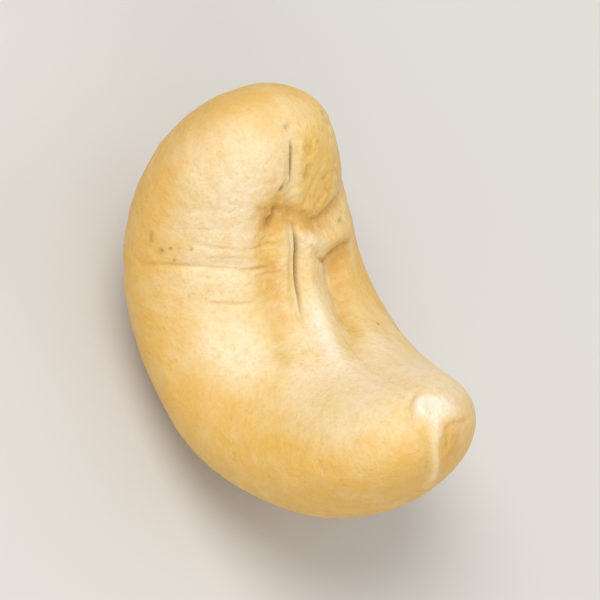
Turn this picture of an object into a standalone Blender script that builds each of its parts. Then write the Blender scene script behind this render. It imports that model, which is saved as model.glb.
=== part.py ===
"""A whole skinned cashew kernel, lying on its back with the open side of its curve up.

+X runs along the curve, from the round end to the end with the root tip. +Y runs across the two
seed halves and +Z up, out of the bend. The origin is on the surface that the kernel lies on,
below the middle of its box.

A place on the kernel is given by t, from -1 at the round end to 1 at the root tip, by the angle
round the arm, 0 on the inner side, and by y, its distance from the seam's plane.
"""
import math

import bpy
import numpy as np

MM = 0.001

# Driving dimensions
ARM_LENGTH = 32.4 * MM          # along the middle line, from end to end
ARM_HALF_WIDTH = 4.82 * MM      # in the plane of the curve
ARM_HALF_THICKNESS = 6.88 * MM  # across the seed halves
BEND = math.radians(165.6)      # how far the middle line turns
BEND_IN_MIDDLE = 0.87           # share of the turn that gathers towards the middle
ROUND_END_BLUNTNESS = 2.45      # 2 is an ellipse, more is blunter
ROOT_END_BLUNTNESS = 2.25
REST_FLAT_CUT = 0.26 * MM       # how much of the back the resting spot takes off
UNEVENNESS = 0.07 * MM          # slow lumps all over
LUMP_LENGTH = 3.4 * MM          # a slow lump's length over two pi

# Folds along the arm, in mm: half width, where it runs (t, y) and how high it stands (t, height)
SEAM = {
    "width": 0.42,
    "path": ((-1.0, 0.3), (-0.9, 0.2), (-0.75, 0.25), (-0.62, 0.5), (-0.48, 0.58), (-0.29, 0.34),
             (-0.04, 0.0), (0.2, -0.1), (0.4, -0.7)),
    "height": ((-1.0, -0.05), (-0.9, -0.2), (-0.76, -0.12), (-0.6, -0.3), (0.0, -0.26), (0.2, -0.14),
               (0.5, 0.0)),
}
MIDDLE_BAND = {
    "width": 0.7,
    "path": ((-0.62, 1.1), (-0.45, 1.3), (-0.2, 1.05), (0.1, 0.75), (0.3, 0.4), (0.5, -0.3)),
    "height": ((-0.66, 0.0), (-0.5, 0.16), (0.1, 0.26), (0.38, 0.22), (0.7, 0.0)),
}
FRONT_VALLEY = {
    "width": 0.85,
    "path": ((-0.8, -0.9), (-0.6, -1.1), (-0.3, -1.2), (0.0, -1.6), (0.3, -2.4)),
    "height": ((-0.85, 0.0), (-0.72, -0.3), (-0.4, -0.24), (0.0, -0.22), (0.35, 0.0)),
}
BACK_VALLEY = {
    "width": 0.8,
    "path": ((-0.34, 3.4), (-0.2, 3.2), (0.0, 2.85), (0.16, 2.5), (0.31, 2.0), (0.54, 1.2), (0.72, 0.7),
             (0.94, 0.2)),
    "height": ((-0.4, 0.0), (-0.31, -0.52), (0.05, -0.52), (0.4, -0.3), (0.8, -0.16), (0.95, 0.0)),
}
INNER_FOLDS = (SEAM, MIDDLE_BAND, FRONT_VALLEY, BACK_VALLEY)

OUTER_SEAM = {
    "width": 0.55,
    "path": ((-1.0, 0.2), (0.0, 0.0), (1.0, 0.0)),
    "height": ((-0.95, -0.02), (-0.6, -0.12), (0.5, -0.12), (0.75, 0.0)),
}
ROOT_RIDGE = {
    "width": 0.45,
    "path": ((0.78, 0.0), (0.84, 0.08), (0.91, -0.05), (1.0, -0.3)),
    "height": ((0.76, 0.0), (0.87, 0.16), (1.0, 0.14)),
}
OUTER_FOLDS = (OUTER_SEAM, ROOT_RIDGE)

# Folds across the arm, in mm: half width, where it runs (y, t) and how high it stands (y, height)
CHIN_CREASE = {
    "width": 0.6,
    "path": ((-1.4, -0.66), (-0.7, -0.68), (0.2, -0.69), (1.3, -0.63), (2.2, -0.56), (3.1, -0.545),
             (5.3, -0.54)),
    "height": ((-1.6, 0.0), (-0.6, -0.24), (1.2, -0.38), (3.5, -0.36), (5.6, -0.12)),
}
CHIN_RIDGE = {
    "width": 0.8,
    "path": ((0.8, -0.53), (1.5, -0.51), (2.3, -0.46), (3.2, -0.42), (4.7, -0.38), (5.7, -0.36)),
    "height": ((0.5, 0.0), (1.5, 0.24), (3.2, 0.38), (4.7, 0.3), (5.9, 0.08)),
}
FLANK_WRINKLE = {
    "width": 0.4,
    "path": ((-6.0, -0.48), (-3.4, -0.49), (-2.4, -0.465), (-1.2, -0.44)),
    "height": ((-6.2, 0.0), (-4.8, -0.12), (-2.5, -0.14), (-1.2, 0.0)),
}
CROSS_FOLDS = (CHIN_CREASE, CHIN_RIDGE, FLANK_WRINKLE)

# Dents and bumps: t, angle in degrees, radius in mm, height in mm
HOLLOW_CHIN = (-0.78, 34.0, 2.3, -0.3)
FRONT_DENT = (-0.73, -13.0, 0.9, -0.24)
ROOT_NIB = (0.985, 35.0, 1.5, 0.28)
BACK_CHEEK = (0.86, 72.0, 2.6, 0.22)
SPOTS = (HOLLOW_CHIN, FRONT_DENT, ROOT_NIB, BACK_CHEEK)
SIDE_BLEND = 2.4 * MM           # how far into the arm the inner folds fade out

# Mesh: squares along the arm, across the halves and from the back to the inner side
SQUARES = (44, 24, 20)
CROWDING = 0.4                  # draws the rows of squares towards the inner side
LINE_STEPS = 400

KERNEL_COLOUR = (0.86, 0.64, 0.31, 1.0)
KERNEL_ROUGHNESS = 0.42


def smooth_path(at, knots):
    """Value of the smooth curve through the knots, level past the first and the last."""
    place, value = np.array(knots).T
    slope = np.gradient(value, place)
    i = np.clip(np.searchsorted(place, at) - 1, 0, len(place) - 2)
    width = place[i + 1] - place[i]
    u = np.clip((at - place[i]) / width, 0.0, 1.0)
    start = (1 + 2 * u) * (1 - u) ** 2 * value[i] + u * (1 - u) ** 2 * width * slope[i]
    end = u ** 2 * (3 - 2 * u) * value[i + 1] + u ** 2 * (u - 1) * width * slope[i + 1]
    return start + end


def bell(distance, width):
    """1 at no distance, falling smoothly to nothing past about two widths."""
    return np.exp(-(distance / width) ** 2)


def middle_line():
    """t, x, z and slope of points along the middle line of the bent arm."""
    t = np.linspace(-1.0, 1.0, 2 * LINE_STEPS + 1)
    slope = 0.5 * BEND * ((1 - BEND_IN_MIDDLE) * t + BEND_IN_MIDDLE * np.sin(0.5 * math.pi * t))
    step = 0.5 * ARM_LENGTH * (t[1] - t[0])
    x = np.cumsum(np.cos(slope)) * step
    z = np.cumsum(np.sin(slope)) * step
    return t, x - x[LINE_STEPS], z - z[LINE_STEPS], slope


def bare_surface(t, angle):
    """Points of the smooth kernel, and how far each lies from the middle line towards the bend."""
    line_t, line_x, line_z, line_slope = middle_line()
    bluntness = np.where(t < 0, ROUND_END_BLUNTNESS, ROOT_END_BLUNTNESS)
    fullness = np.clip(1 - np.abs(t) ** bluntness, 0.0, 1.0) ** (1 / bluntness)
    inward = ARM_HALF_WIDTH * fullness * np.cos(angle)
    slope = np.interp(t, line_t, line_slope)
    x = np.interp(t, line_t, line_x) - inward * np.sin(slope)
    y = ARM_HALF_THICKNESS * fullness * np.sin(angle)
    z = np.interp(t, line_t, line_z) + inward * np.cos(slope)
    return np.stack([x, y, z], axis=-1), inward


def relief(t, points, inward):
    """How far the folds, dents, bumps and lumps lift each point off the smooth kernel."""
    x, y, z = points.T / MM
    inner = np.clip(0.5 + 0.5 * inward / SIDE_BLEND, 0.0, 1.0)
    inner = inner ** 2 * (3 - 2 * inner)
    height = np.zeros(len(t))
    for folds, side in ((INNER_FOLDS, inner), (OUTER_FOLDS, 1 - inner)):
        for fold in folds:
            off_path = y - smooth_path(t, fold["path"])
            height += smooth_path(t, fold["height"]) * bell(off_path, fold["width"]) * side
    pace = (0.5 * ARM_LENGTH - 0.5 * BEND * inward) / MM
    for fold in CROSS_FOLDS:
        off_path = (t - smooth_path(y, fold["path"])) * pace
        height += smooth_path(y, fold["height"]) * bell(off_path, fold["width"]) * inner
    for spot_t, spot_angle, radius, lift in SPOTS:
        centre, _ = bare_surface(np.array([spot_t]), np.radians([spot_angle]))
        height += lift * bell(np.linalg.norm(points - centre, axis=1) / MM, radius)
    pitch = LUMP_LENGTH / MM
    lumps = np.sin(x / pitch + 0.6) * np.sin(1.3 * y / pitch - 0.9)
    lumps += np.sin(0.9 * z / pitch + 2.0 * x / pitch) * np.cos(0.8 * y / pitch + 0.5)
    return height * MM + UNEVENNESS * lumps


def box_shell(counts):
    """Whole-number corners and outward squares of a box surface divided counts ways."""
    corners = {}
    squares = []
    for axis in range(3):
        first, second = (axis + 1) % 3, (axis + 2) % 3
        for side in (0, counts[axis]):
            for p in range(counts[first]):
                for q in range(counts[second]):
                    ring = []
                    for step_p, step_q in ((0, 0), (1, 0), (1, 1), (0, 1)):
                        corner = [side, side, side]
                        corner[first] = p + step_p
                        corner[second] = q + step_q
                        ring.append(corners.setdefault(tuple(corner), len(corners)))
                    squares.append(ring if side else ring[::-1])
    return np.array(list(corners), dtype=float), squares


def kernel_places(corners):
    """t and angle of each corner, from the box blown up into a ball."""
    cube = np.tan(0.25 * math.pi * (2 * corners / np.array(SQUARES) - 1))
    ball = cube / np.linalg.norm(cube, axis=1, keepdims=True)
    angle = np.arctan2(ball[:, 1], ball[:, 2])
    return ball[:, 0], angle - CROWDING * np.sin(angle)


def make_kernel():
    corners, squares = box_shell(SQUARES)
    t, angle = kernel_places(corners)
    points, inward = bare_surface(t, angle)
    mesh = bpy.data.meshes.new("cashew_kernel")
    mesh.from_pydata(points.tolist(), [], squares)
    mesh.update()
    normals = np.array([normal.vector[:] for normal in mesh.vertex_normals])
    points += normals * relief(t, points, inward)[:, None]
    rest_height = points[:, 2].min() + REST_FLAT_CUT
    points[:, 2] = np.maximum(points[:, 2], rest_height)
    low, high = points.min(axis=0), points.max(axis=0)
    points -= [(low[0] + high[0]) / 2, (low[1] + high[1]) / 2, rest_height]
    mesh.vertices.foreach_set("co", points.ravel())
    mesh.update()
    mesh.shade_smooth()
    kernel = bpy.data.objects.new("cashew_kernel", mesh)
    bpy.context.scene.collection.objects.link(kernel)
    return kernel


def kernel_material():
    material = bpy.data.materials.new("kernel")
    material.use_nodes = True
    shader = material.node_tree.nodes["Principled BSDF"]
    shader.inputs["Base Color"].default_value = KERNEL_COLOUR
    shader.inputs["Roughness"].default_value = KERNEL_ROUGHNESS
    shader.inputs["Metallic"].default_value = 0.0
    return material


for old in list(bpy.data.objects):
    bpy.data.objects.remove(old, do_unlink=True)
make_kernel().data.materials.append(kernel_material())
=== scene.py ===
"""The looks of a whole skinned cashew kernel: its fine surface, its finish, a pale floor and soft light.

A place on the kernel is given by t, from -1 at the round end to 1 at the root tip, by the angle
round the arm, 0 on the inner side, and by y, its distance from the seam's plane.
"""
import math

import bpy
import numpy as np
from mathutils import Matrix, Vector, noise


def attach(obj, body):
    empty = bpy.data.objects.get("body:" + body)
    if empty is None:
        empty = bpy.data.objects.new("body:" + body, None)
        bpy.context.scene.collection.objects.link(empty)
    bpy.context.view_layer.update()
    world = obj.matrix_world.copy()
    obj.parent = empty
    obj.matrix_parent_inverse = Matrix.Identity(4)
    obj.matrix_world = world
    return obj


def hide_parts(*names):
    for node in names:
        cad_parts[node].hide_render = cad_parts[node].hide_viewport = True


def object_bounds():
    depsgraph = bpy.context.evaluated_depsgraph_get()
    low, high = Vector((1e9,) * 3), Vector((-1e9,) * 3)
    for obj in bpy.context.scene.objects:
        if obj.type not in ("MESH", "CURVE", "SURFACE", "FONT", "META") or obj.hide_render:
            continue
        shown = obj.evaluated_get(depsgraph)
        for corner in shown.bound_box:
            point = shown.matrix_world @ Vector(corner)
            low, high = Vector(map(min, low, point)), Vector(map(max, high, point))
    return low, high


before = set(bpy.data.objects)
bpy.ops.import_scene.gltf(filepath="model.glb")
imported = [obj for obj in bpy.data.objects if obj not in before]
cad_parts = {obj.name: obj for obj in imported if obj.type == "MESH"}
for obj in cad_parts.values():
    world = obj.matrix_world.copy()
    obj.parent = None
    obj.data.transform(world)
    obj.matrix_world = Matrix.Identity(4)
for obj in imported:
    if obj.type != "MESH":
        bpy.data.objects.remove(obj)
cad_low, cad_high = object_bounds()
MM = 0.001
NODE = "cashew_kernel"

# The kernel's driving dimensions, as in its solid
ARM_LENGTH = 32.4 * MM          # along the middle line, from end to end
ARM_HALF_WIDTH = 4.82 * MM      # in the plane of the curve
ARM_HALF_THICKNESS = 6.88 * MM  # across the seed halves
BEND = math.radians(165.6)      # how far the middle line turns
BEND_IN_MIDDLE = 0.87           # share of the turn that gathers towards the middle
ROUND_END_BLUNTNESS = 2.45      # 2 is an ellipse, more is blunter
ROOT_END_BLUNTNESS = 2.25
REST_FLAT_CUT = 0.26 * MM       # how much of the back the resting spot takes off
UNEVENNESS = 0.07 * MM          # slow lumps all over
LUMP_LENGTH = 3.4 * MM          # a slow lump's length over two pi
SIDE_BLEND = 2.4 * MM           # how far into the arm the inner folds fade out

# Folds along the arm, in mm: half width, where it runs (t, y) and how high it stands (t, height)
SEAM = {
    "width": 0.42,
    "path": ((-1.0, 0.3), (-0.9, 0.2), (-0.75, 0.25), (-0.62, 0.5), (-0.48, 0.58), (-0.29, 0.34),
             (-0.04, 0.0), (0.2, -0.1), (0.4, -0.7)),
    "height": ((-1.0, -0.05), (-0.9, -0.2), (-0.76, -0.12), (-0.6, -0.3), (0.0, -0.26), (0.2, -0.14),
               (0.5, 0.0)),
}
MIDDLE_BAND = {
    "width": 0.7,
    "path": ((-0.62, 1.1), (-0.45, 1.3), (-0.2, 1.05), (0.1, 0.75), (0.3, 0.4), (0.5, -0.3)),
    "height": ((-0.66, 0.0), (-0.5, 0.16), (0.1, 0.26), (0.38, 0.22), (0.7, 0.0)),
}
FRONT_VALLEY = {
    "width": 0.85,
    "path": ((-0.8, -0.9), (-0.6, -1.1), (-0.3, -1.2), (0.0, -1.6), (0.3, -2.4)),
    "height": ((-0.85, 0.0), (-0.72, -0.3), (-0.4, -0.24), (0.0, -0.22), (0.35, 0.0)),
}
BACK_VALLEY = {
    "width": 0.8,
    "path": ((-0.34, 3.4), (-0.2, 3.2), (0.0, 2.85), (0.16, 2.5), (0.31, 2.0), (0.54, 1.2), (0.72, 0.7),
             (0.94, 0.2)),
    "height": ((-0.4, 0.0), (-0.31, -0.52), (0.05, -0.52), (0.4, -0.3), (0.8, -0.16), (0.95, 0.0)),
}
INNER_FOLDS = (SEAM, MIDDLE_BAND, FRONT_VALLEY, BACK_VALLEY)

OUTER_SEAM = {
    "width": 0.55,
    "path": ((-1.0, 0.2), (0.0, 0.0), (1.0, 0.0)),
    "height": ((-0.95, -0.02), (-0.6, -0.12), (0.5, -0.12), (0.75, 0.0)),
}
ROOT_RIDGE = {
    "width": 0.45,
    "path": ((0.78, 0.0), (0.84, 0.08), (0.91, -0.05), (1.0, -0.3)),
    "height": ((0.76, 0.0), (0.87, 0.16), (1.0, 0.14)),
}
OUTER_FOLDS = (OUTER_SEAM, ROOT_RIDGE)

# Folds across the arm, in mm: half width, where it runs (y, t) and how high it stands (y, height)
CHIN_CREASE = {
    "width": 0.6,
    "path": ((-1.4, -0.66), (-0.7, -0.68), (0.2, -0.69), (1.3, -0.63), (2.2, -0.56), (3.1, -0.545),
             (5.3, -0.54)),
    "height": ((-1.6, 0.0), (-0.6, -0.24), (1.2, -0.38), (3.5, -0.36), (5.6, -0.12)),
}
CHIN_RIDGE = {
    "width": 0.8,
    "path": ((0.8, -0.53), (1.5, -0.51), (2.3, -0.46), (3.2, -0.42), (4.7, -0.38), (5.7, -0.36)),
    "height": ((0.5, 0.0), (1.5, 0.24), (3.2, 0.38), (4.7, 0.3), (5.9, 0.08)),
}
FLANK_WRINKLE = {
    "width": 0.4,
    "path": ((-6.0, -0.48), (-3.4, -0.49), (-2.4, -0.465), (-1.2, -0.44)),
    "height": ((-6.2, 0.0), (-4.8, -0.12), (-2.5, -0.14), (-1.2, 0.0)),
}
CROSS_FOLDS = (CHIN_CREASE, CHIN_RIDGE, FLANK_WRINKLE)

# Dents and bumps: t, angle in degrees, radius in mm, height in mm
HOLLOW_CHIN = (-0.78, 34.0, 2.3, -0.3)
FRONT_DENT = (-0.73, -13.0, 0.9, -0.24)
ROOT_NIB = (0.985, 35.0, 1.5, 0.28)
BACK_CHEEK = (0.86, 72.0, 2.6, 0.22)
SPOTS = (HOLLOW_CHIN, FRONT_DENT, ROOT_NIB, BACK_CHEEK)

# Fine folds along the arm, which the solid leaves out: the cracks in the seam, the lines of the root end
UPPER_CRACK = {
    "width": 0.06,
    "path": ((-0.975, 0.3), (-0.933, 0.23), (-0.893, 0.19), (-0.85, 0.2)),
    "height": ((-0.98, 0.0), (-0.96, -0.26), (-0.88, -0.24), (-0.84, 0.0)),
}
MAIN_CRACK = {
    "width": 0.055,
    "path": ((-0.64, 0.66), (-0.56, 0.72), (-0.46, 0.74), (-0.4, 0.66), (-0.34, 0.56), (-0.22, 0.38),
             (-0.12, 0.25), (-0.02, 0.05), (0.1, -0.1)),
    "height": ((-0.65, 0.0), (-0.58, -0.12), (-0.5, -0.28), (-0.34, -0.28), (-0.1, -0.16), (0.1, 0.0)),
}
CRACKS = (UPPER_CRACK, MAIN_CRACK)
ROOT_CREST = {
    "width": 0.32,
    "path": ((0.76, 0.0), (0.85, -0.07), (0.914, -0.17), (0.956, -0.25), (0.983, -0.28), (1.0, -0.1)),
    "height": ((0.78, 0.0), (0.88, 0.12), (1.0, 0.14)),
}
ROOT_GROOVE = {
    "width": 0.2,
    "path": ((0.78, -0.35), (0.85, -0.42), (0.914, -0.5), (0.956, -0.59), (0.983, -0.63), (0.996, -0.73)),
    "height": ((0.8, 0.0), (0.9, -0.13), (1.0, -0.15)),
}
ROOT_LINES = (ROOT_CREST, ROOT_GROOVE)

# Fine wrinkles across the arm: where they run (y, t), deepest point in mm, half width in mm
WRINKLES = (
    (((-6.9, -0.4), (-6.5, -0.43), (-6.2, -0.456), (-5.7, -0.47), (-3.8, -0.472), (-2.05, -0.436),
      (-1.0, -0.42)), 0.12, 0.13),
    (((-4.6, -0.285), (-4.2, -0.275), (-3.36, -0.243), (-2.3, -0.215)), 0.10, 0.15),
    (((-5.3, -0.71), (-4.0, -0.755), (-2.9, -0.76)), 0.05, 0.12),
    (((-5.2, -0.60), (-3.8, -0.585), (-2.6, -0.57)), 0.055, 0.12),
    (((-4.8, -0.655), (-3.0, -0.695)), 0.05, 0.11),
    (((-4.6, -0.53), (-3.0, -0.53), (-2.0, -0.50)), 0.04, 0.11),
    (((-2.3, -0.56), (-0.5, -0.55)), 0.06, 0.12),
    (((-2.3, -0.40), (-0.4, -0.375)), 0.05, 0.12),
    (((-1.4, -0.66), (-0.9, -0.66), (-0.3, -0.72)), 0.10, 0.16),
    (((-4.2, -0.13), (-2.8, -0.11)), 0.03, 0.14),
    (((1.8, -0.585), (2.6, -0.55), (3.6, -0.55), (5.2, -0.535)), 0.12, 0.18),
    (((1.9, -0.36), (3.1, -0.285), (3.6, -0.31), (4.2, -0.32), (5.1, -0.29)), 0.2, 0.2),
)
WRINKLE_FADE = (0.3, 0.6)       # where it ends past its first and last place, and where it is whole inside

# Strokes through places (t, angle in degrees): half width and height in mm
STROKES = (
    (((-0.56, 14.5), (-0.51, 11.0), (-0.48, 11.5), (-0.43, 14.5), (-0.39, 17.0)), 0.16, -0.12),
    (((-0.51, 25.0), (-0.49, 31.0), (-0.46, 40.0)), 0.2, -0.06),
    (((0.968, -6.0), (0.973, -12.0), (0.98, -26.0), (0.989, -44.0), (0.993, -75.0)), 0.15, -0.2),
    (((0.98, 2.0), (0.9885, -8.0), (0.994, -16.0)), 0.3, 0.14),
    (((0.96, 165.0), (0.988, 153.0), (0.993, 134.0), (0.986, 114.0), (0.945, 108.0)), 0.12, -0.13),
    (((0.36, 14.0), (0.54, 10.5), (0.72, 7.0), (0.86, 4.0), (0.935, 3.0)), 0.14, -0.1),
    (((0.606, 0.5), (0.738, -1.0), (0.865, -6.0), (0.955, -9.0)), 0.16, -0.07),
    (((-0.83, -5.5), (-0.79, -9.0), (-0.756, -12.0)), 0.16, -0.08),
    (((-0.883, -0.5), (-0.863, -3.6), (-0.84, -6.0)), 0.09, -0.07),
    (((-0.8, -6.3), (-0.732, -5.6), (-0.69, -6.0), (-0.64, -9.6)), 0.14, -0.12),
    (((-0.78, 29.0), (-0.75, 22.0), (-0.713, 15.0)), 0.22, -0.07),
    (((-0.69, 38.0), (-0.668, 33.0), (-0.64, 26.0)), 0.2, -0.06),
    (((0.717, -43.0), (0.756, -57.0), (0.765, -72.0), (0.75, -93.0)), 0.13, -0.045),
)

# Small marks that are dark as well: a stroke as above, and the strength of the dark
STEM_DOT = (((-0.995, 17.0), (-0.995, 22.0)), 0.17, -0.06)
CRACK_END = (((-0.842, -5.5), (-0.832, -6.2)), 0.13, -0.14)
RIDGE_DOT = (((-0.46, 41.0), (-0.456, 43.0)), 0.13, -0.06)
CREASE_MARK = (((-0.72, -5.2), (-0.69, -6.0), (-0.645, -9.0)), 0.13, -0.03)
FLANK_MARK = (((-0.56, -84.4), (-0.528, -82.8)), 0.12, -0.03)
DARK_MARKS = ((STEM_DOT, 0.35), (CRACK_END, 0.75), (RIDGE_DOT, 0.45), (CREASE_MARK, 0.4), (FLANK_MARK, 0.35))

# Small dark specks: t, angle in degrees and half width in mm
SPECK_DEPTH = 0.05
SPECKS = (
    (-0.517, -73.2, 0.14), (-0.54, -67.2, 0.09), (-0.494, -63.2, 0.09), (-0.566, -54.4, 0.08),
    (0.26, 38.0, 0.09),
)

# Grain of the flesh: heights and lengths in mm
OCTAVES = 3                     # sizes of lumps in a noise
ROUGH_OCTAVES = 2               # the same for the rough skin
SHRINK = 2.0                    # how much shorter each size is than the one before
WEAKENING = 1.0                 # how fast the sizes get weaker, as a power of their length
STRIPE_HEIGHT = 0.012
STRIPES_PER_MM = (1.5, 0.3)     # along the arm, and round it
FLANK_STRIPE_HEIGHT = 0.024     # what is added on the front flank
FLANK_STRIPES = (-0.5, 0.4)     # their middle and half width in t
FLANK_STRIPES_START = (1.5, 2.5)
GRAINS = ((0.05, 2.4, 2), (0.016, 0.7, 3))  # height, length and sizes of lumps

# Rough skin, in t and mm: past the crease at the round end, and beside the upper crack
CHIN_ALONG = (-1.0, -0.93, -0.66, -0.55)
CHIN_START = (0.2, 0.9)
CHIN_FADE = (3.8, 5.6)
CHIN_FADE_SHARE = 0.7           # how much of it is gone past the fade
CHEEK_ALONG = (-0.95, -0.86, -0.5, -0.32)
CHEEK_ACROSS = (-2.4, -1.4, 0.0, 0.4)
CHEEK_SHARE = 1.1
STREAK_SLANT = math.radians(55.0)   # how its streaks lie, from the arm's direction
STREAK_HEIGHT = 0.075
STREAK_LENGTH = 1.8
STREAK_WIDTH = 0.7
ROUGH_GRAINS = ((0.05, 0.65), (0.035, 0.36))    # height and length
ROUGHNESS_PATCHES = (0.95, 1.5, 1.9)    # middle, swing and length of the patches of more and less of it
ROUGHNESS_LIMITS = (0.3, 1.5)

# Tints: folds along the arm, and a belt across it, with the strength of the colour as their height. The ochre
# and olive ones lie mostly in the valleys and are partly the flesh's tone, partly painted shade; the belt is
# painted shade in the crease under the round end; the pale ones are partly painted highlights
OCHRE_VALLEY_TONE_AND_SHADE = (
    {
        "width": 0.75,
        "path": ((-0.3, 4.1), (-0.1, 3.6), (0.1, 2.95), (0.3, 2.2)),
        "height": ((-0.36, 0.0), (-0.28, 1.0), (-0.15, 0.85), (0.05, 0.45), (0.2, 0.15), (0.35, 0.0)),
    },
    {
        "width": 0.75,
        "path": ((-0.85, -0.4), (-0.7, -0.5), (-0.55, -1.0), (-0.42, -0.9), (-0.2, -1.3), (0.0, -1.4),
                 (0.2, -1.75)),
        "height": ((-0.9, 0.1), (-0.7, 0.7), (-0.56, 0.4), (-0.42, 0.8), (-0.1, 0.6), (0.1, 0.4),
                   (0.25, 0.0)),
    },
)
# Olive: partly the flesh's tone, partly painted shade in the valleys and beside the middle band
OLIVE_TONE_AND_SHADE = (
    {
        "width": 0.6,
        "path": ((-0.3, 3.9), (-0.1, 3.35), (0.1, 2.8), (0.3, 2.1), (0.45, 1.6)),
        "height": ((-0.2, 0.0), (-0.05, 0.7), (0.2, 0.9), (0.4, 0.6), (0.65, 0.0)),
    },
    {
        "width": 0.7,
        "path": ((-0.5, 1.5), (-0.3, 1.6), (-0.05, 1.4)),
        "height": ((-0.55, 0.0), (-0.4, 0.55), (-0.2, 0.5), (0.0, 0.0)),
    },
    {
        "width": 0.7,
        "path": ((-0.8, -0.7), (-0.5, -1.5), (-0.2, -1.9), (0.0, -1.7), (0.2, -2.1), (0.42, -2.6)),
        "height": ((-0.85, 0.0), (-0.65, 0.6), (-0.2, 0.4), (0.0, 0.5), (0.2, 0.8), (0.34, 0.5), (0.5, 0.0)),
    },
)
# The belt is ochre painted shade along the crease under the round end
CREASE_SHADE_BELT = {
    "width": 0.5,
    "path": ((-1.2, -0.69), (0.0, -0.69), (1.2, -0.615), (2.5, -0.555), (5.3, -0.535)),
    "height": ((-1.6, 0.0), (-0.8, 0.9), (0.8, 1.3), (2.5, 1.1), (5.3, 0.8)),
}
# Pale: partly the flesh's pale tone, partly painted highlights on the middle band and the front flank
PALE_TONE_AND_HIGHLIGHTS = (
    {
        "width": 0.55,
        "path": ((-0.6, 0.9), (-0.45, 1.2), (-0.25, 1.1), (0.0, 0.75), (0.2, 0.4), (0.4, -0.05), (0.6, -0.5)),
        "height": ((-0.62, 0.0), (-0.5, 0.2), (-0.3, 0.15), (-0.1, 0.4), (0.25, 1.1), (0.42, 1.0),
                   (0.65, 0.0)),
    },
    {
        "width": 1.5,
        "path": ((-0.9, -2.8), (-0.5, -3.6), (0.3, -4.2)),
        "height": ((-1.0, 0.5), (-0.9, 0.5), (-0.8, 0.35), (-0.4, 0.35), (-0.22, 0.15), (-0.1, 0.35),
                   (0.15, 0.45), (0.35, 0.0)),
    },
    {
        "width": 1.5,
        "path": ((0.4, -1.8), (0.9, -0.8)),
        "height": ((0.35, 0.0), (0.55, 0.45), (0.7, 0.4), (0.85, 0.3), (0.97, 0.1)),
    },
    {
        "width": 1.6,
        "path": ((0.5, 2.9), (0.7, 1.8), (0.95, 2.4)),
        "height": ((0.35, 0.0), (0.55, 0.3), (0.75, 0.4), (0.92, 0.4), (1.0, 0.2)),
    },
)
TINT_WANDER = (0.35, 1.1)      # how far the edges of the tints wander, and over what length, in mm
BELT_WANDER_SHARE = 0.5
PATCH_WANDER_SHARE = 0.4

# Marks of the root tip: places (t, angle in degrees), half width in mm and strength of the colour
# The tip patch is partly the pale flesh at the tip, partly a painted highlight
TIP_PATCH = (((0.9935, 7.0), (0.9945, 25.0), (0.9935, 42.0)), 0.52, 1.1)
TIP_PATCH_EDGES = (0.6, 1.5)    # where it is full and where it ends, in half widths
TIP_BLUSH = (((0.994, 30.0), (0.993, 52.0), (0.984, 70.0)), 0.6, 0.45)
TIP_FUNNEL = (((0.994, 20.0), (0.999, 40.0), (0.997, 178.0)), 0.32, 0.6)
TIP_RIDGE = (((0.997, 178.0), (0.983, -170.0), (0.956, -174.0), (0.914, -177.0), (0.84, -179.0)), 0.26, 1.0)
TIP_RIDGE_START = (0.78, 0.92)
TIP_RIDGE_PALE = 0.12           # how pale the ridge is
TIP_RIDGE_BARE = 0.8            # how much of the darker colours it keeps off
TIP_OCHRE = (((0.987, 138.0), (0.965, 140.0), (0.945, 155.0)), 0.5, 0.8)
TIP_ARC = (((0.969, 164.0), (0.988, 153.0), (0.993, 134.0), (0.986, 114.0), (0.96, 109.0)), 0.12, 0.9)
# Olive painted shade along the groove beside the root ridge
TIP_GROOVE_SHADE = (((0.996, -120.0), (0.983, -157.0), (0.956, -166.0), (0.914, -171.0)), 0.2, 0.6)

# Yellow flesh of the round end: edges in t and mm, and strengths
YELLOW_CHIN_ALONG = (-1.0, -0.94, -0.66, -0.57)
YELLOW_CHIN_START = (0.1, 1.6)
YELLOW_CHIN_SHARE = 0.95
YELLOW_CHIN_FADE = (3.4, 5.4)
YELLOW_CHIN_FADE_SHARE = 0.65
YELLOW_CHEEK_ALONG = (-0.9, -0.78, -0.5, -0.4)
YELLOW_CHEEK_LINE = (-1.1, 0.9)     # its middle and half width
YELLOW_CHEEK_SHARE = 0.8

# Ochre: painted shade on the back, by the crease under the round end, in the hollows of the rough skin and in
# the wrinkles, and the ochre of the specks
BACK_SHADE_EDGES = (-5.2, 0.2)
BACK_SHADE_SHARE = 0.9
OCHRE_CHIN_ALONG = (-0.84, -0.68, -0.63, -0.56)
OCHRE_CHIN_START = (0.3, 1.4)
OCHRE_CHIN_SHARE = 0.55
OCHRE_SPECK_SHARE = 0.5
HOLLOW_SHADE_SHARE = 0.8
HOLLOW_SHADE_DEPTH = 0.075      # how deep a hollow of the rough skin is for all of it
WRINKLE_SHADE_PER_MM = 5.0

# Golden: painted shade on the back, the flanks and the belly, darker towards the kernel's edges, and the
# golden of the ridge under the round end and the far side of the bend
GOLDEN_BACK_SHADE_EDGES = (-2.4, 2.2)
GOLDEN_FLANK_SHADE_START = (4.6, 6.4)
GOLDEN_FLANK_SHADE_SHARE = 0.8
GOLDEN_BELLY_SHADE_START = (3.4, 5.2)
GOLDEN_BELLY_SHADE_ALONG = (-0.1, 0.3)
GOLDEN_BELLY_SHADE_SHARE = 0.55
GOLDEN_BEND_ALONG = (-0.05, 0.3)     # its middle and half width in t
GOLDEN_BEND_START = (3.2, 4.4)
GOLDEN_BEND_SHARE = 0.7
GOLDEN_RIDGE_START = (1.6, 2.6)
GOLDEN_RIDGE_SHARE = 0.5
GOLDEN_CLOUDS = (0.25, 1.6)     # strength and length

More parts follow.
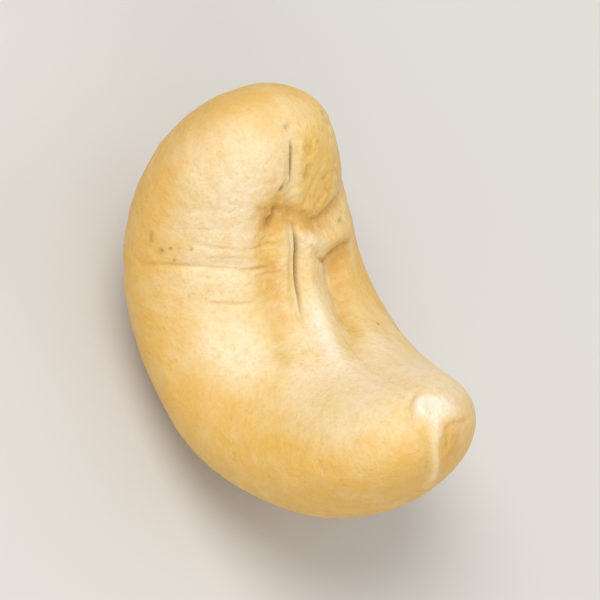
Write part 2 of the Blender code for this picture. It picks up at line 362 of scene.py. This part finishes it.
# Painted shade in the cracks, and dark specks
CRACK_SHADE_WIDTHS = 1.2         # how wide the painted shade is, in widths of the crack
CRACK_SHADE_DEPTH = 0.32         # how deep a crack is for the full painted shade
DARK_SPECK_SHARE = 0.55

# Mesh: squares along the arm, across the halves and from the back to the inner side
SQUARES = (170, 112, 96)
CROWDING = 0.4                  # draws the rows of squares towards the inner side
LINE_STEPS = 400
FIT_MARGIN = 0.02 * MM          # the least by which this surface is smaller than the solid's box

# Colours
# GOLDEN, OCHRE, OLIVE and DARK also serve as painted shade, PALE partly as painted highlights
CREAM = (0.81, 0.625, 0.315, 1.0)
LIGHT_CREAM = (0.85, 0.69, 0.42, 1.0)
GOLDEN = (0.78, 0.475, 0.11, 1.0)
YELLOW = (0.87, 0.56, 0.12, 1.0)
OCHRE = (0.67, 0.39, 0.095, 1.0)
OLIVE = (0.66, 0.46, 0.14, 1.0)
PALE = (0.93, 0.83, 0.69, 1.0)
DARK = (0.20, 0.11, 0.02, 1.0)

# Noises of the material: lumps to a metre, detail and roughness
CLOUDS = (300.0, 4.0, 0.6)
BLOTCHES = (700.0, 6.0, 0.68)
MOTTLE = (1900.0, 4.0, 0.65)
DOTS = (4200.0, 3.0, 0.6)

# What a noise turns into: its low and high value, and what they become
LIGHT_CLOUDS = (0.4, 0.6, 0.0, 1.0)
SOFT_BLOTCHES = (0.38, 0.62, 0.72, 1.08)
PATCHY_BLOTCHES = (0.4, 0.6, 0.5, 1.0)
PATCHY_MOTTLE = (0.4, 0.6, -0.1, 0.3)
GOLDEN_BLOTCHES = (0.5, 0.7, 0.0, 0.3)
GOLDEN_MOTTLE = (0.5, 0.72, 0.0, 0.4)
OCHRE_DOTS = (0.52, 0.75, 0.0, 0.3)
GLOSS_MOTTLE = (0.3, 0.7, 0.38, 0.58)

# Finish
MOTTLE_BUMP = 0.11 * MM
DOTS_BUMP = 0.04 * MM
GLOW_SHARE = 0.2                # light that goes through the flesh
GLOW_REACH = (1.0, 0.5, 0.2)
GLOW_DEPTH = 0.6 * MM
SHINE = 0.34

# Stage
FLOOR_SIZE = 3.0
FLOOR_COLOUR = (0.62, 0.61, 0.59, 1.0)
FLOOR_ROUGHNESS = 0.7
VIEW_AZIMUTH = math.radians(15.6)
VIEW_ELEVATION = math.radians(58.65)
VIEW_ROLL = math.radians(50.0)
LENS = 800.0
CLIP_START = 0.01
CLIP_END = 10.0
FRAME_HEIGHT = 31.5 * MM        # what the picture spans at the kernel
AIM_RIGHT = 0.34 * MM           # from the middle of the kernel's box to the middle of the picture
AIM_UP = 0.9 * MM
LIGHT_DISTANCE = 0.5
SOFT_WHITE = (1.0, 0.98, 0.95)
WARM_WHITE = (1.0, 0.96, 0.9)
LIGHTS = (                      # name, way (right, up, back in the picture), size in m, power in W, colour
    ("key", (0.05, 0.5, 0.84), 0.3, 1.42, SOFT_WHITE),
    ("side", (0.9, 0.1, 0.4), 0.3, 0.22, WARM_WHITE),
    ("fill", (0.1, -0.6, 0.75), 0.4, 0.6, SOFT_WHITE),
)
ROOM_COLOUR = (1.0, 0.99, 0.97, 1.0)
ROOM_LIGHT = 0.58


def smooth_path(at, knots):
    """Value of the smooth curve through the knots, level past the first and the last."""
    place, value = np.array(knots).T
    slope = np.gradient(value, place)
    i = np.clip(np.searchsorted(place, at) - 1, 0, len(place) - 2)
    width = place[i + 1] - place[i]
    u = np.clip((at - place[i]) / width, 0.0, 1.0)
    start = (1 + 2 * u) * (1 - u) ** 2 * value[i] + u * (1 - u) ** 2 * width * slope[i]
    end = u ** 2 * (3 - 2 * u) * value[i + 1] + u ** 2 * (u - 1) * width * slope[i + 1]
    return start + end


def bell(distance, width):
    """1 at no distance, falling smoothly to nothing past about two widths."""
    return np.exp(-(distance / width) ** 2)


def ease(value, low, high):
    """0 at low, 1 at high, smooth between."""
    u = np.clip((value - low) / (high - low), 0.0, 1.0)
    return u * u * (3 - 2 * u)


def window(value, edges):
    """0 outside the first and the last edge, 1 between the two in the middle, smooth between."""
    start, full, fading, end = edges
    return ease(value, start, full) * (1 - ease(value, fading, end))


def middle_line():
    """t, x, z and slope of points along the middle line of the bent arm."""
    t = np.linspace(-1.0, 1.0, 2 * LINE_STEPS + 1)
    slope = 0.5 * BEND * ((1 - BEND_IN_MIDDLE) * t + BEND_IN_MIDDLE * np.sin(0.5 * math.pi * t))
    step = 0.5 * ARM_LENGTH * (t[1] - t[0])
    x = np.cumsum(np.cos(slope)) * step
    z = np.cumsum(np.sin(slope)) * step
    return t, x - x[LINE_STEPS], z - z[LINE_STEPS], slope


def bare_surface(t, angle):
    """Points of the smooth kernel, and how far each lies from the middle line towards the bend."""
    line_t, line_x, line_z, line_slope = middle_line()
    bluntness = np.where(t < 0, ROUND_END_BLUNTNESS, ROOT_END_BLUNTNESS)
    fullness = np.clip(1 - np.abs(t) ** bluntness, 0.0, 1.0) ** (1 / bluntness)
    inward = ARM_HALF_WIDTH * fullness * np.cos(angle)
    slope = np.interp(t, line_t, line_slope)
    x = np.interp(t, line_t, line_x) - inward * np.sin(slope)
    y = ARM_HALF_THICKNESS * fullness * np.sin(angle)
    z = np.interp(t, line_t, line_z) + inward * np.cos(slope)
    return np.stack([x, y, z], axis=-1), inward


class Places:
    """Places on the smooth kernel, and what its forms and colours go by. Lengths are in mm."""

    def __init__(self, t, angle):
        points, inward = bare_surface(t, angle)
        self.t = t
        self.points = points / MM
        self.y = self.points[:, 1]
        self.inward = inward / MM       # from the middle line towards the bend
        self.inner = ease(inward, -SIDE_BLEND, SIDE_BLEND)          # 1 on the inner side, 0 on the back
        self.pace = (0.5 * ARM_LENGTH - 0.5 * BEND * inward) / MM   # along the arm for each 1 of t
        self.arm = 0.5 * ARM_LENGTH * t / MM            # along the middle line
        self.girth = angle * ARM_HALF_THICKNESS / MM    # round the arm


def along(fold, t, y):
    """Height in mm that a fold along the arm gives each point."""
    return smooth_path(t, fold["height"]) * bell(y - smooth_path(t, fold["path"]), fold["width"])


def off_line(path, skin):
    """How far along the arm each place is from a line across it, in mm."""
    return (skin.t - smooth_path(skin.y, path)) * skin.pace


def across(fold, skin, shift=0.0):
    """Height in mm that a fold across the arm gives each place."""
    off_fold = off_line(fold["path"], skin) + shift
    return smooth_path(skin.y, fold["height"]) * bell(off_fold, fold["width"])


def spot_distance(skin, t, angle):
    """How far each place is from the one at t and the angle in degrees, in mm."""
    spot = Places(np.array([t]), np.radians([angle]))
    return np.linalg.norm(skin.points - spot.points, axis=1)


def stroke_distance(skin, places):
    """How far each place is from the line through the given ones, in mm."""
    t, angle = np.array(places).T
    line = Places(t, np.radians(angle)).points
    nearest = np.full(len(skin.points), np.inf)
    for start, end in zip(line, line[1:]):
        way = end - start
        share = np.clip((skin.points - start) @ way / (way @ way), 0.0, 1.0)
        nearest = np.minimum(nearest, np.linalg.norm(skin.points - start - share[:, None] * way, axis=1))
    return nearest


def mark(skin, places, width, strength):
    """A line through places: its strength in the middle, fading to nothing past two widths."""
    return strength * bell(stroke_distance(skin, places), width)


def relief(skin):
    """Height in mm of the folds, dents, bumps and lumps: the same as on the solid."""
    height = sum(along(fold, skin.t, skin.y) for fold in INNER_FOLDS) * skin.inner
    height += sum(along(fold, skin.t, skin.y) for fold in OUTER_FOLDS) * (1 - skin.inner)
    height += sum(across(fold, skin) for fold in CROSS_FOLDS) * skin.inner
    for t, angle, radius, lift in SPOTS:
        height += lift * bell(spot_distance(skin, t, angle), radius)
    x, y, z = skin.points.T * MM / LUMP_LENGTH
    lumps = np.sin(x + 0.6) * np.sin(1.3 * y - 0.9)
    lumps += np.sin(0.9 * z + 2.0 * x) * np.cos(0.8 * y + 0.5)
    return height + UNEVENNESS / MM * lumps


def grain(points, octaves=OCTAVES):
    """Fractal noise, about -1 to 1, at points given in lengths of its largest lumps."""
    return np.array([noise.fractal(Vector(point), WEAKENING, SHRINK, octaves) for point in points])


def flat_grain(first, second, octaves=OCTAVES):
    """The same noise by two measures alone."""
    return grain(np.stack([first, second, 0 * first], axis=1), octaves)


def rough_relief(skin):
    """Height in mm of the rough skin."""
    chin = window(skin.t, CHIN_ALONG) * ease(skin.y, *CHIN_START)
    chin *= 1 - CHIN_FADE_SHARE * ease(skin.y, *CHIN_FADE)
    cheek = window(skin.t, CHEEK_ALONG) * window(skin.y, CHEEK_ACROSS)
    down_streak = skin.arm * math.cos(STREAK_SLANT) + skin.girth * math.sin(STREAK_SLANT)
    over_streak = skin.girth * math.cos(STREAK_SLANT) - skin.arm * math.sin(STREAK_SLANT)
    streaks = flat_grain(down_streak / STREAK_LENGTH, over_streak / STREAK_WIDTH, ROUGH_OCTAVES)
    height = STREAK_HEIGHT * streaks
    for lift, length in ROUGH_GRAINS:
        height += lift * grain(skin.points / length, ROUGH_OCTAVES)
    middle, swing, length = ROUGHNESS_PATCHES
    patches = middle + swing * grain(skin.points / length, ROUGH_OCTAVES)
    patches = np.clip(patches, *ROUGHNESS_LIMITS)
    return height * patches * (chin + CHEEK_SHARE * cheek) * skin.inner


def wrinkle_depth(skin):
    """How deep in mm the fine wrinkles cut."""
    depth = np.zeros(len(skin.t))
    past, inside = WRINKLE_FADE
    for path, deepest, width in WRINKLES:
        first, last = path[0][0], path[-1][0]
        reach = window(skin.y, (first - past, first + inside, last - inside, last + past))
        depth += deepest * bell(off_line(path, skin), width) * reach
    return depth * skin.inner


def speck_share(skin):
    """1 in the middle of each small speck, 0 away from them."""
    return sum(bell(spot_distance(skin, t, angle), width) for t, angle, width in SPECKS)


def fine_relief(skin):
    """Height in mm of the cracks, lines, marks, specks and grain, which the solid leaves out."""
    height = sum(along(crack, skin.t, skin.y) for crack in CRACKS) * skin.inner
    height += sum(along(line, skin.t, skin.y) for line in ROOT_LINES) * (1 - skin.inner)
    for places, width, lift in (*STROKES, *(stroke for stroke, _ in DARK_MARKS)):
        height += mark(skin, places, width, lift)
    height -= SPECK_DEPTH * speck_share(skin)
    middle, half_width = FLANK_STRIPES
    on_flank = bell(skin.t - middle, half_width) * ease(-skin.y, *FLANK_STRIPES_START)
    along_arm, round_arm = STRIPES_PER_MM
    stripes = flat_grain(along_arm * skin.arm, round_arm * skin.girth)
    height += (STRIPE_HEIGHT + FLANK_STRIPE_HEIGHT * on_flank) * stripes
    for lift, length, octaves in GRAINS:
        height += lift * grain(skin.points / length, octaves)
    return height


def tint_share(tints, skin, wander=0.0):
    """Strength of the tints along the inner side; some stand for painted shade, some for painted highlights.
    """
    return sum(along(tint, skin.t, skin.y + wander) for tint in tints) * skin.inner


def yellow_share(skin, wander):
    """Yellow of the round end, and of the skin beside the upper crack."""
    chin = window(skin.t, YELLOW_CHIN_ALONG) * ease(skin.y + wander, *YELLOW_CHIN_START)
    chin *= 1 - YELLOW_CHIN_FADE_SHARE * ease(skin.y + wander, *YELLOW_CHIN_FADE)
    middle, half_width = YELLOW_CHEEK_LINE
    cheek = bell(skin.y - middle + wander, half_width) * window(skin.t, YELLOW_CHEEK_ALONG)
    return skin.inner * (YELLOW_CHIN_SHARE * chin + YELLOW_CHEEK_SHARE * cheek)


def ochre_and_shade_share(skin, wander, wrinkles, rough):
    """Ochre of the valley tints, the tip marks and the specks, and painted shade on the back, by the crease
    under the round end, in the hollows of the rough skin and in the wrinkles.
    """
    belt = across(CREASE_SHADE_BELT, skin, BELT_WANDER_SHARE * wander)
    chin = window(skin.t, OCHRE_CHIN_ALONG) * ease(skin.y + wander, *OCHRE_CHIN_START)
    share = tint_share(OCHRE_VALLEY_TONE_AND_SHADE, skin, wander) + (belt + OCHRE_CHIN_SHARE * chin) * skin.inner
    share += BACK_SHADE_SHARE * (1 - ease(skin.inward, *BACK_SHADE_EDGES))
    share += mark(skin, *TIP_OCHRE) + mark(skin, *TIP_ARC) + OCHRE_SPECK_SHARE * speck_share(skin)
    share += HOLLOW_SHADE_SHARE * ease(-rough, 0.0, HOLLOW_SHADE_DEPTH)
    return share + WRINKLE_SHADE_PER_MM * wrinkles


def golden_and_edge_shade_share(skin):
    """Golden: painted shade on the back, the sides and the belly, and the tone of the ridge and the bend, in
    slow clouds.
    """
    middle, half_width = GOLDEN_BEND_ALONG
    bend = bell(skin.t - middle, half_width) * ease(skin.y, *GOLDEN_BEND_START)
    ridge = bell(off_line(CHIN_RIDGE["path"], skin), CHIN_RIDGE["width"]) * ease(skin.y, *GOLDEN_RIDGE_START)
    belly = ease(-skin.y, *GOLDEN_BELLY_SHADE_START) * ease(skin.t, *GOLDEN_BELLY_SHADE_ALONG)
    strength, length = GOLDEN_CLOUDS
    share = skin.inner * (GOLDEN_BEND_SHARE * bend + GOLDEN_RIDGE_SHARE * ridge)
    share += 1 - ease(skin.inward, *GOLDEN_BACK_SHADE_EDGES) + GOLDEN_BELLY_SHADE_SHARE * belly
    share += GOLDEN_FLANK_SHADE_SHARE * ease(np.abs(skin.y), *GOLDEN_FLANK_SHADE_START)
    return share + strength * grain(skin.points / length)


def pale_and_highlight_share(skin, wander, ridge):
    """Pale of the middle band, the flanks and the root tip: partly the flesh's pale tone, partly painted
    highlights.
    """
    places, width, strength = TIP_PATCH
    full, end = TIP_PATCH_EDGES
    off_patch = stroke_distance(skin, places) + PATCH_WANDER_SHARE * wander
    share = tint_share(PALE_TONE_AND_HIGHLIGHTS, skin) + strength * (1 - ease(off_patch, full * width, end * width))
    return share + mark(skin, *TIP_BLUSH) + mark(skin, *TIP_FUNNEL) + TIP_RIDGE_PALE * ridge


def dark_and_crack_shade_share(skin):
    """Dark of the marks and the specks, and painted shade in the cracks, darker where they cut deeper."""
    share = DARK_SPECK_SHARE * speck_share(skin)
    for crack in CRACKS:
        off_crack = skin.y - smooth_path(skin.t, crack["path"])
        depth = -smooth_path(skin.t, crack["height"]) * skin.inner
        share += bell(off_crack, CRACK_SHADE_WIDTHS * crack["width"]) * np.clip(depth / CRACK_SHADE_DEPTH, 0, 1)
    for (places, width, _), strength in DARK_MARKS:
        share += mark(skin, places, width, strength)
    return share


def colour_shares(skin, wrinkles, rough):
    """How much of each colour the flesh takes at each place, from 0 to 1. Several shares stand for painted
    shade as well, on the back and edges, in the valleys, creases, hollows and cracks, and the pale one partly
    for painted highlights.
    """
    reach, length = TINT_WANDER
    wander = reach * grain(skin.points / length)
    ridge = mark(skin, *TIP_RIDGE) * ease(skin.t, *TIP_RIDGE_START)
    pale = pale_and_highlight_share(skin, wander, ridge)
    bare = 1 - np.clip(pale + TIP_RIDGE_BARE * ridge, 0, 1)
    shares = {
        "golden_and_edge_shade": golden_and_edge_shade_share(skin) * bare,
        "yellow": yellow_share(skin, wander),
        "olive_and_shade": tint_share(OLIVE_TONE_AND_SHADE, skin, wander) + mark(skin, *TIP_GROOVE_SHADE),
        "ochre_and_shade": ochre_and_shade_share(skin, wander, wrinkles, rough) * bare,
        "pale": pale,
        "dark": dark_and_crack_shade_share(skin),
    }
    return {name: np.clip(share, 0, 1) for name, share in shares.items()}


def box_shell(counts):
    """Whole-number corners and outward squares of a box surface divided counts ways."""
    corners = {}
    squares = []
    for axis in range(3):
        first, second = (axis + 1) % 3, (axis + 2) % 3
        for side in (0, counts[axis]):
            for p in range(counts[first]):
                for q in range(counts[second]):
                    ring = []
                    for step_p, step_q in ((0, 0), (1, 0), (1, 1), (0, 1)):
                        corner = [side, side, side]
                        corner[first] = p + step_p
                        corner[second] = q + step_q
                        ring.append(corners.setdefault(tuple(corner), len(corners)))
                    squares.append(ring if side else ring[::-1])
    return np.array(list(corners), dtype=float), squares


def kernel_places(corners):
    """t and angle of each corner, from the box blown up into a ball."""
    cube = np.tan(0.25 * math.pi * (2 * corners / np.array(SQUARES) - 1))
    ball = cube / np.linalg.norm(cube, axis=1, keepdims=True)
    angle = np.arctan2(ball[:, 1], ball[:, 2])
    return ball[:, 0], angle - CROWDING * np.sin(angle)


def vertex_normals(points, squares):
    """The way straight out of the surface at each point."""
    mesh = bpy.data.meshes.new("bare_surface")
    mesh.from_pydata(points.tolist(), [], squares)
    mesh.update()
    normals = np.array([normal.vector[:] for normal in mesh.vertex_normals])
    bpy.data.meshes.remove(mesh)
    return normals


def fitted(points, rest_height):
    """The points, moved and scaled into the solid's box, with the resting spot on the floor."""
    low, high = points.min(axis=0), points.max(axis=0)
    centred = points - [(low[0] + high[0]) / 2, (low[1] + high[1]) / 2, rest_height]
    scale = ((np.array(cad_high - cad_low) - FIT_MARGIN) / (high - low)).min()
    return scale * centred + [(cad_low.x + cad_high.x) / 2, (cad_low.y + cad_high.y) / 2, 0.0]


def make_kernel():
    corners, squares = box_shell(SQUARES)
    skin = Places(*kernel_places(corners))
    wrinkles = wrinkle_depth(skin)
    rough = rough_relief(skin)
    normals = vertex_normals(skin.points, squares)
    lift = relief(skin)
    rest_height = (skin.points + normals * lift[:, None])[:, 2].min() * MM + REST_FLAT_CUT
    lift += fine_relief(skin) - wrinkles + rough
    points = (skin.points + normals * lift[:, None]) * MM
    points[:, 2] = np.maximum(points[:, 2], rest_height)
    points = fitted(points, rest_height)
    mesh = bpy.data.meshes.new("kernel_surface")
    mesh.from_pydata(points.tolist(), [], squares)
    mesh.update()
    mesh.shade_smooth()
    for name, share in colour_shares(skin, wrinkles, rough).items():
        mesh.attributes.new(name, "FLOAT", "POINT").data.foreach_set("value", share.astype(np.float32))
    mesh.materials.append(kernel_material())
    kernel = bpy.data.objects.new("kernel_surface", mesh)
    bpy.context.scene.collection.objects.link(kernel)
    return kernel


class Shading:
    """A material's nodes, added and joined one by one."""

    def __init__(self, name):
        self.material = bpy.data.materials.new(name)
        self.material.use_nodes = True
        self.tree = self.material.node_tree
        self.shader = self.tree.nodes["Principled BSDF"]

    def set(self, socket, value):
        if isinstance(value, bpy.types.NodeSocket):
            self.tree.links.new(value, socket)
        else:
            socket.default_value = value

    def attribute(self, name):
        node = self.tree.nodes.new("ShaderNodeAttribute")
        node.attribute_name = name
        return node.outputs["Fac"]

    def noise(self, vector, scale, detail, roughness):
        node = self.tree.nodes.new("ShaderNodeTexNoise")
        self.set(node.inputs["Vector"], vector)
        node.inputs["Scale"].default_value = scale
        node.inputs["Detail"].default_value = detail
        node.inputs["Roughness"].default_value = roughness
        return node.outputs["Fac"]

    def math(self, operation, first, second, clamp=False):
        node = self.tree.nodes.new("ShaderNodeMath")
        node.operation = operation
        node.use_clamp = clamp
        self.set(node.inputs[0], first)
        self.set(node.inputs[1], second)
        return node.outputs[0]

    def stretch(self, value, low, high, to_low, to_high):
        node = self.tree.nodes.new("ShaderNodeMapRange")
        self.set(node.inputs["Value"], value)
        for name, number in zip(("From Min", "From Max", "To Min", "To Max"), (low, high, to_low, to_high)):
            node.inputs[name].default_value = number
        return node.outputs["Result"]

    def mix(self, share, first, second):
        node = self.tree.nodes.new("ShaderNodeMix")
        node.data_type = "RGBA"
        self.set(node.inputs["Factor"], share)
        self.set(node.inputs["A"], first)
        self.set(node.inputs["B"], second)
        return node.outputs["Result"]

    def bump(self, height, distance, normal=None):
        node = self.tree.nodes.new("ShaderNodeBump")
        node.inputs["Strength"].default_value = 1.0
        node.inputs["Distance"].default_value = distance
        self.set(node.inputs["Height"], height)
        if normal is not None:
            self.set(node.inputs["Normal"], normal)
        return node.outputs["Normal"]


def kernel_material():
    look = Shading("kernel_flesh")
    place = look.tree.nodes.new("ShaderNodeTexCoord").outputs["Object"]
    clouds = look.noise(place, *CLOUDS)
    blotches = look.noise(place, *BLOTCHES)
    mottle = look.noise(place, *MOTTLE)
    dots = look.noise(place, *DOTS)
    soft = look.stretch(blotches, *SOFT_BLOTCHES)
    patchy = look.math("ADD", look.stretch(blotches, *PATCHY_BLOTCHES), look.stretch(mottle, *PATCHY_MOTTLE))

    # A share read from an attribute and spread by a noise; several shares carry painted shade, the pale one
    # painted highlights
    def tint(name, spread):
        return look.math("MULTIPLY", look.attribute(name), spread, clamp=True)

    colour = look.mix(look.stretch(clouds, *LIGHT_CLOUDS), CREAM, LIGHT_CREAM)
    # Golden: painted shade towards the kernel's edges, with some golden tone of the flesh
    colour = look.mix(tint("golden_and_edge_shade", soft), colour, GOLDEN)
    colour = look.mix(tint("yellow", soft), colour, YELLOW)
    # Olive: partly the flesh's tone, partly painted shade
    colour = look.mix(tint("olive_and_shade", patchy), colour, OLIVE)
    # Ochre: partly the flesh's tone, partly painted shade in the valleys, the crease, the hollows, the
    # wrinkles and on the back
    colour = look.mix(tint("ochre_and_shade", patchy), colour, OCHRE)
    # Pale: partly the flesh's tone, partly painted highlights
    colour = look.mix(tint("pale", soft), colour, PALE)
    colour = look.mix(look.stretch(blotches, *GOLDEN_BLOTCHES), colour, GOLDEN)
    colour = look.mix(look.stretch(mottle, *GOLDEN_MOTTLE), colour, GOLDEN)
    colour = look.mix(look.stretch(dots, *OCHRE_DOTS), colour, OCHRE)
    # Dark marks and specks, and painted shade in the cracks
    colour = look.mix(look.attribute("dark"), colour, DARK)
    look.set(look.shader.inputs["Base Color"], colour)
    look.set(look.shader.inputs["Roughness"], look.stretch(mottle, *GLOSS_MOTTLE))
    normal = look.bump(mottle, MOTTLE_BUMP)
    look.set(look.shader.inputs["Normal"], look.bump(dots, DOTS_BUMP, normal))
    look.shader.inputs["Subsurface Weight"].default_value = GLOW_SHARE
    look.shader.inputs["Subsurface Radius"].default_value = GLOW_REACH
    look.shader.inputs["Subsurface Scale"].default_value = GLOW_DEPTH
    look.shader.inputs["Specular IOR Level"].default_value = SHINE
    return look.material


def floor_material():
    look = Shading("floor_paper")
    look.shader.inputs["Base Color"].default_value = FLOOR_COLOUR
    look.shader.inputs["Roughness"].default_value = FLOOR_ROUGHNESS
    return look.material


def make_floor():
    half = FLOOR_SIZE / 2
    corners = [(-half, -half, 0), (half, -half, 0), (half, half, 0), (-half, half, 0)]
    mesh = bpy.data.meshes.new("floor")
    mesh.from_pydata(corners, [], [(0, 1, 2, 3)])
    mesh.materials.append(floor_material())
    floor = bpy.data.objects.new("floor", mesh)
    bpy.context.scene.collection.objects.link(floor)


def view_axes():
    """The picture's right, its up, and the way from the kernel to the camera."""
    a, e, r = VIEW_AZIMUTH, VIEW_ELEVATION, VIEW_ROLL
    back = Vector((math.sin(a) * math.cos(e), -math.cos(a) * math.cos(e), math.sin(e)))
    level = Vector((math.cos(a), math.sin(a), 0.0))
    rise = back.cross(level)
    return level * math.cos(r) + rise * math.sin(r), rise * math.cos(r) - level * math.sin(r), back


def make_camera():
    right, up, back = view_axes()
    target = (cad_low + cad_high) / 2 + right * AIM_RIGHT + up * AIM_UP
    data = bpy.data.cameras.new("camera")
    data.lens = LENS
    data.clip_start = CLIP_START
    data.clip_end = CLIP_END
    distance = FRAME_HEIGHT * LENS / data.sensor_width
    camera = bpy.data.objects.new("camera", data)
    place = Matrix((right, up, back)).transposed().to_4x4()
    place.translation = target + back * distance
    camera.matrix_world = place
    bpy.context.scene.collection.objects.link(camera)
    bpy.context.scene.camera = camera


def make_light(name, towards, size, power, colour):
    data = bpy.data.lights.new(name, "AREA")
    data.shape = "DISK"
    data.size = size
    data.energy = power
    data.color = colour
    light = bpy.data.objects.new(name, data)
    light.location = towards.normalized() * LIGHT_DISTANCE
    light.rotation_euler = towards.to_track_quat("Z", "Y").to_euler()
    bpy.context.scene.collection.objects.link(light)


def make_lights():
    right, up, back = view_axes()
    for name, (to_right, to_up, to_back), size, power, colour in LIGHTS:
        make_light(name, right * to_right + up * to_up + back * to_back, size, power, colour)
    room = bpy.data.worlds.new("studio")
    room.use_nodes = True
    background = room.node_tree.nodes["Background"]
    background.inputs["Color"].default_value = ROOM_COLOUR
    background.inputs["Strength"].default_value = ROOM_LIGHT
    bpy.context.scene.world = room
    bpy.context.scene.view_settings.view_transform = "Standard"


kernel = make_kernel()
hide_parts(NODE)
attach(kernel, "root")
make_floor()
make_camera()
make_lights()
